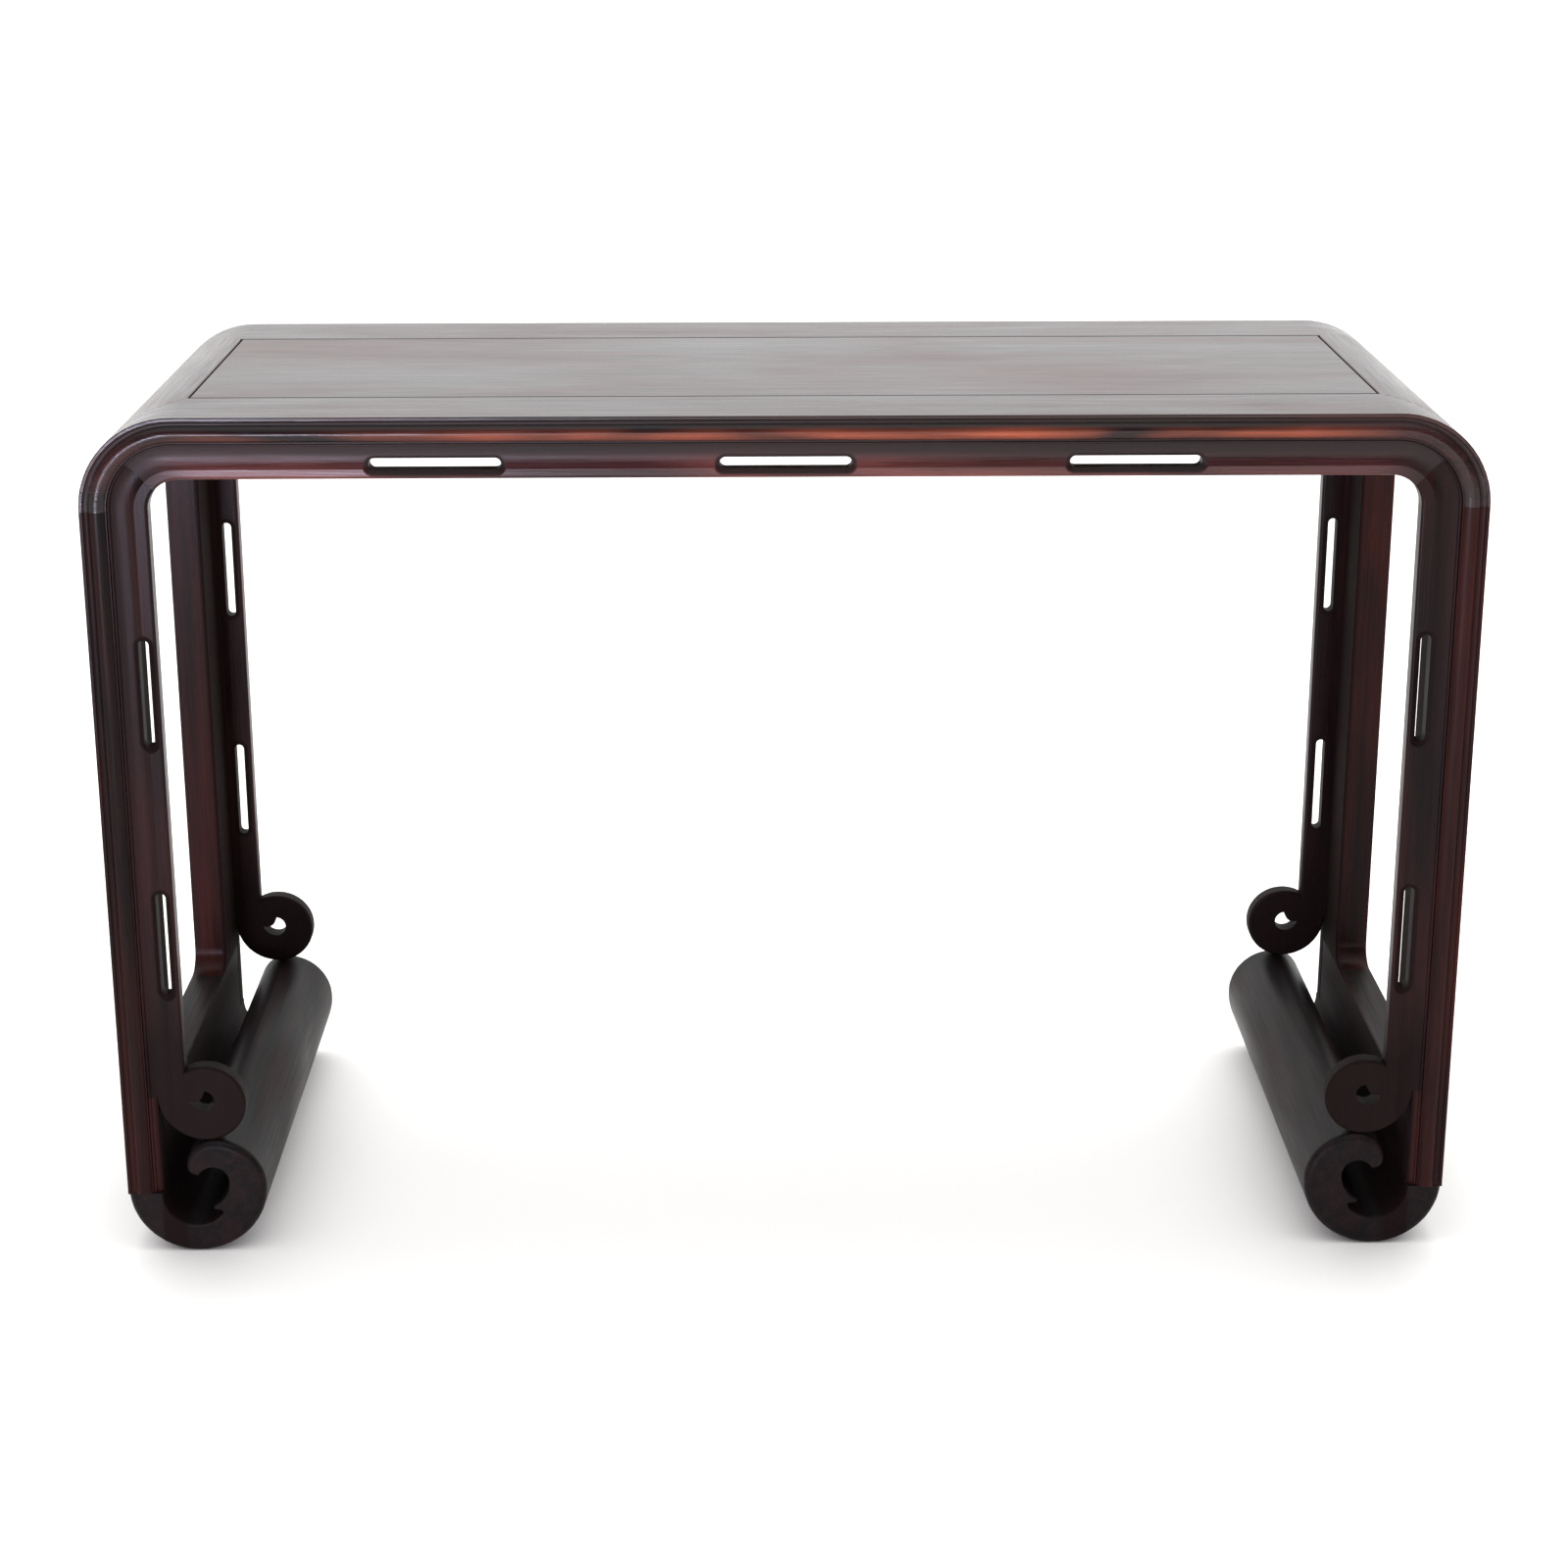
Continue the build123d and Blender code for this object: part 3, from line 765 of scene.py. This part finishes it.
@dataclass
class Aprons:
    """Beaded boards between the legs, with slots cut through them."""

    # A thinner stain under waxed lacquer: reddish violet low on the board and on the bead, partly
    # worn and partly painted highlight, and painted shade, nearly black, in the hollow, round the
    # slots and towards the corners.
    board: LacqueredHardwood = LacqueredHardwood(
        "lacquered apron wood",
        Grain.ALONG_LENGTH,
        dark="#1c1113",
        streak="#3f2325",
        glow="#613438",
        glow_share=0.5,
        # painted highlight on the bead and low on the board, with worn red
        rubbed_and_highlight="#85493f",
        wear_and_highlight=((24.0, 0.0), (26.0, 0.3), (30.0, 0.0), (38.0, 0.2), (50.0, 0.5), (58.0, 0.8)),
        wear_and_highlight_within=440.0,
        # colour of the painted shade
        shade_and_low_dark="#160a0a",
        # painted shade in the hollow under the roll
        painted_shade=((0.0, 0.0), (24.0, 0.9), (27.0, 0.9), (34.0, 0.8), (43.0, 0.1), (52.0, 0.0)),
        dulling=0.25,
        # painted shade towards the corners
        shaded_ends=(515.0, 575.0),
        # painted shade in the bevel round each slot
        slots=SlotRing(((0.0, 770.0), (310.0, 770.0)), length=117.0, width=10.5, upright=False),
        roughness=0.24,
        specular=0.26,
        offset=0.29,
    )
    # The same lacquer where few hands reach: deep brown with a low sheen, and
    # darker still on the curls near the floor.
    upright: LacqueredHardwood = LacqueredHardwood(
        "lacquered spandrel wood",
        Grain.UPRIGHT,
        streak="#241112",
        glow="#3c1a19",
        glow_share=0.4,
        # painted shade in the hollow under the roll
        painted_shade=((0.0, 0.0), (24.0, 0.3), (27.0, 0.4), (33.0, 0.2), (42.0, 0.0), (52.0, 0.0)),
        # painted shade in the bevel round each slot
        slots=SlotRing(((577.5, 313.2), (577.5, 557.5)), length=101.0, width=9.5, upright=True),
        # darker towards the floor, over the curls
        darker_below=(200.0, 300.0),
        specular=0.09,
        offset=0.53,
    )

    def dress(self) -> None:
        """Finish the aprons and the spandrels with their curls."""
        board = self.board.build()
        upright = self.upright.build()
        for face in ("front", "back"):
            dress(f"apron_{face}", board)
            for side in ("left", "right"):
                dress(f"spandrel_{face}_{side}", upright)


@dataclass
class Legs:
    """Stiles with the moulded edge, standing on rolled feet."""

    # Thin, worn lacquer on upright grain: red brown streaks and little gloss.
    stile: LacqueredHardwood = LacqueredHardwood(
        "lacquered leg wood",
        Grain.UPRIGHT,
        streak="#261110",
        glow="#421b16",
        glow_share=0.4,
        # painted shade on the inner faces
        painted_shade=((0.0, 0.0), (28.0, 0.0), (32.5, 1.0)),
        dulling=0.6,
        specular=0.08,
        offset=0.67,
    )
    # Years of mopping have left the feet nearly black and matt, with cloudy
    # patches where the lacquer still shines a little.
    foot: LacqueredHardwood = LacqueredHardwood(
        "lacquered foot wood",
        Grain.ALONG_DEPTH,
        dark="#141112",
        streak="#221716",
        glow="#3a1d18",
        glow_share=0.15,
        roughness=0.42,
        clouding=0.6,
        # painted shade in the valley inside the outer wall of each foot
        painted_shade=((0.0, 0.0), (30.0, 0.0), (33.0, 0.9), (52.0, 0.9), (60.0, 0.0)),
        specular=0.08,
        offset=0.91,
    )

    def dress(self) -> None:
        """Finish the stiles and the scroll feet."""
        stile = self.stile.build()
        foot = self.foot.build()
        for side in ("left", "right"):
            dress(f"scroll_foot_{side}", foot)
            for face in ("front", "back"):
                dress(f"leg_stile_{face}_{side}", stile)


@dataclass
class HiddenJoinery:
    """Battens under the panel, and the loose tenons inside the joints."""

    wood: BareHardwood = BareHardwood()
    nodes: tuple[str, ...] = (
        "panel_batten_left",
        "panel_batten_middle",
        "panel_batten_right",
        "frame_mitre_tenons",
        "leg_head_tenons",
        "leg_foot_tenons",
        "apron_mitre_splines",
    )

    def dress(self) -> None:
        """Give the hidden wood its plain surface."""
        wood = self.wood.build()
        for node in self.nodes:
            dress(node, wood)


# ------------------------------------------------------------------ the studio
@dataclass(frozen=True)
class Softbox:
    """One soft area light, in metres, degrees and watts."""

    name: str
    place: Triple
    turn: Triple
    size: Pair
    power: float
    colour: str = "#ffffff"

    def build(self) -> None:
        """Hang the light; it lights the table but stays out of the picture."""
        lamp = bpy.data.lights.new(self.name, "AREA")
        lamp.shape = "RECTANGLE"
        lamp.size, lamp.size_y = self.size
        lamp.energy = self.power
        lamp.color = linear(self.colour)[:3]
        holder = bpy.data.objects.new(self.name, lamp)
        holder.location = self.place
        holder.rotation_euler = [radians(angle) for angle in self.turn]
        holder.visible_camera = False
        bpy.context.scene.collection.objects.link(holder)


@dataclass
class Studio:
    """Pale floor, soft light and the camera, in metres and degrees.

    The room grows brighter towards the back and towards the top.  Each change
    starts and ends at the given part of a direction of length one.
    """

    floor_size: float = 60.0
    floor_colour: str = "#f6f5f3"
    floor_roughness: float = 0.9
    floor_specular: float = 0.1
    room_front: float = 0.12
    room_behind: float = 1.55
    room_above: float = 1.5
    back_change: Pair = (-0.35, 0.45)
    top_change: Pair = (0.45, 0.95)
    camera_place: Triple = (-0.0314, -2.6054, 1.3432)
    camera_turn: Triple = (73.923, 0.102, -0.543)
    lens: float = 63.83  # mm, as is the sensor
    sensor: float = 36.0
    shift: Pair = (0.0059, -0.1246)
    lamps: tuple[Softbox, ...] = (
        Softbox(
            "overhead softbox",
            place=(0.0, 0.4, 3.2),
            turn=(0.0, 0.0, 0.0),
            size=(2.4, 2.4),
            power=40.0,
        ),
        Softbox(
            "low left softbox",
            place=(-1.3, -3.5, 0.25),
            turn=(90.0, 0.0, -18.0),
            size=(1.3, 0.3),
            power=66.0,
            colour="#ece6ff",
        ),
        Softbox(
            "low front softbox",
            place=(0.6, -3.6, 0.2),
            turn=(90.0, 0.0, 8.0),
            size=(2.6, 0.3),
            power=11.0,
            colour="#ffe6d8",
        ),
    )

    def build(self) -> None:
        """Set up everything that isn't the table."""
        self.lay_floor()
        self.light_room()
        for lamp in self.lamps:
            lamp.build()
        self.set_camera()

    def lay_floor(self) -> None:
        """Lay a plain floor in matt paint, which takes soft shadows and no reflections."""
        mesh = bpy.data.meshes.new("studio_floor")
        shape = bmesh.new()
        bmesh.ops.create_grid(shape, x_segments=2, y_segments=2, size=self.floor_size / 2)
        shape.to_mesh(mesh)
        shape.free()
        floor = bpy.data.objects.new("studio_floor", mesh)
        bpy.context.scene.collection.objects.link(floor)
        material, shader = blank_material("pale studio floor paint")
        shader.inputs["Base Color"].default_value = linear(self.floor_colour)
        shader.inputs["Roughness"].default_value = self.floor_roughness
        shader.inputs["Specular IOR Level"].default_value = self.floor_specular
        mesh.materials.append(material)

    def light_room(self) -> None:
        """Light the room: bright above and behind the table, dim in front of it.

        The dim side only shapes the reflections; looked at, it is as pale as the rest.
        """
        world = bpy.data.worlds.new("soft studio room")
        bpy.context.scene.world = world
        world.use_nodes = True
        tree = world.node_tree
        tree.nodes.clear()
        direction = add_node(tree, "ShaderNodeTexCoord").outputs["Generated"]
        parts = add_node(tree, "ShaderNodeSeparateXYZ", links={0: direction}).outputs
        start, end = self.back_change
        behind = add_node(
            tree,
            "ShaderNodeMapRange",
            {
                "interpolation_type": "SMOOTHSTEP",
                "From Min": start,
                "From Max": end,
                "To Min": self.room_front,
                "To Max": self.room_behind,
            },
            {"Value": parts["Y"]},
        ).outputs[0]
        start, end = self.top_change
        above = add_node(
            tree,
            "ShaderNodeMapRange",
            {
                "interpolation_type": "SMOOTHSTEP",
                "From Min": start,
                "From Max": end,
                "To Max": self.room_above,
            },
            {"Value": parts["Z"]},
        ).outputs[0]
        strength = add_node(
            tree, "ShaderNodeMath", {"operation": "ADD"}, {0: behind, 1: above}
        ).outputs[0]
        seen = add_node(tree, "ShaderNodeLightPath").outputs["Is Camera Ray"]
        shown = add_node(
            tree, "ShaderNodeMath", {"operation": "MAXIMUM"}, {0: strength, 1: seen}
        ).outputs[0]
        background = add_node(
            tree, "ShaderNodeBackground", {"Color": linear("#ffffff")}, {"Strength": shown}
        )
        add_node(tree, "ShaderNodeOutputWorld", links={"Surface": background.outputs[0]})
        bpy.context.scene.view_settings.view_transform = "Standard"

    def set_camera(self) -> None:
        """Stand the camera in front, a little above the table."""
        data = bpy.data.cameras.new("front view")
        data.lens = self.lens
        data.sensor_width = self.sensor
        data.sensor_fit = "HORIZONTAL"
        data.shift_x, data.shift_y = self.shift
        camera = bpy.data.objects.new("front view", data)
        camera.location = self.camera_place
        camera.rotation_euler = [radians(angle) for angle in self.camera_turn]
        bpy.context.scene.collection.objects.link(camera)
        bpy.context.scene.camera = camera


def main() -> None:
    """Dress the table piece by piece, then set up the studio."""
    logging.basicConfig(level=logging.INFO, format="%(name)s: %(message)s")
    for assembly in (TopFrame(), Aprons(), Legs(), HiddenJoinery()):
        assembly.dress()
        LOG.info("%s dressed", type(assembly).__name__)
    Studio().build()


if __name__ == "__main__":
    main()
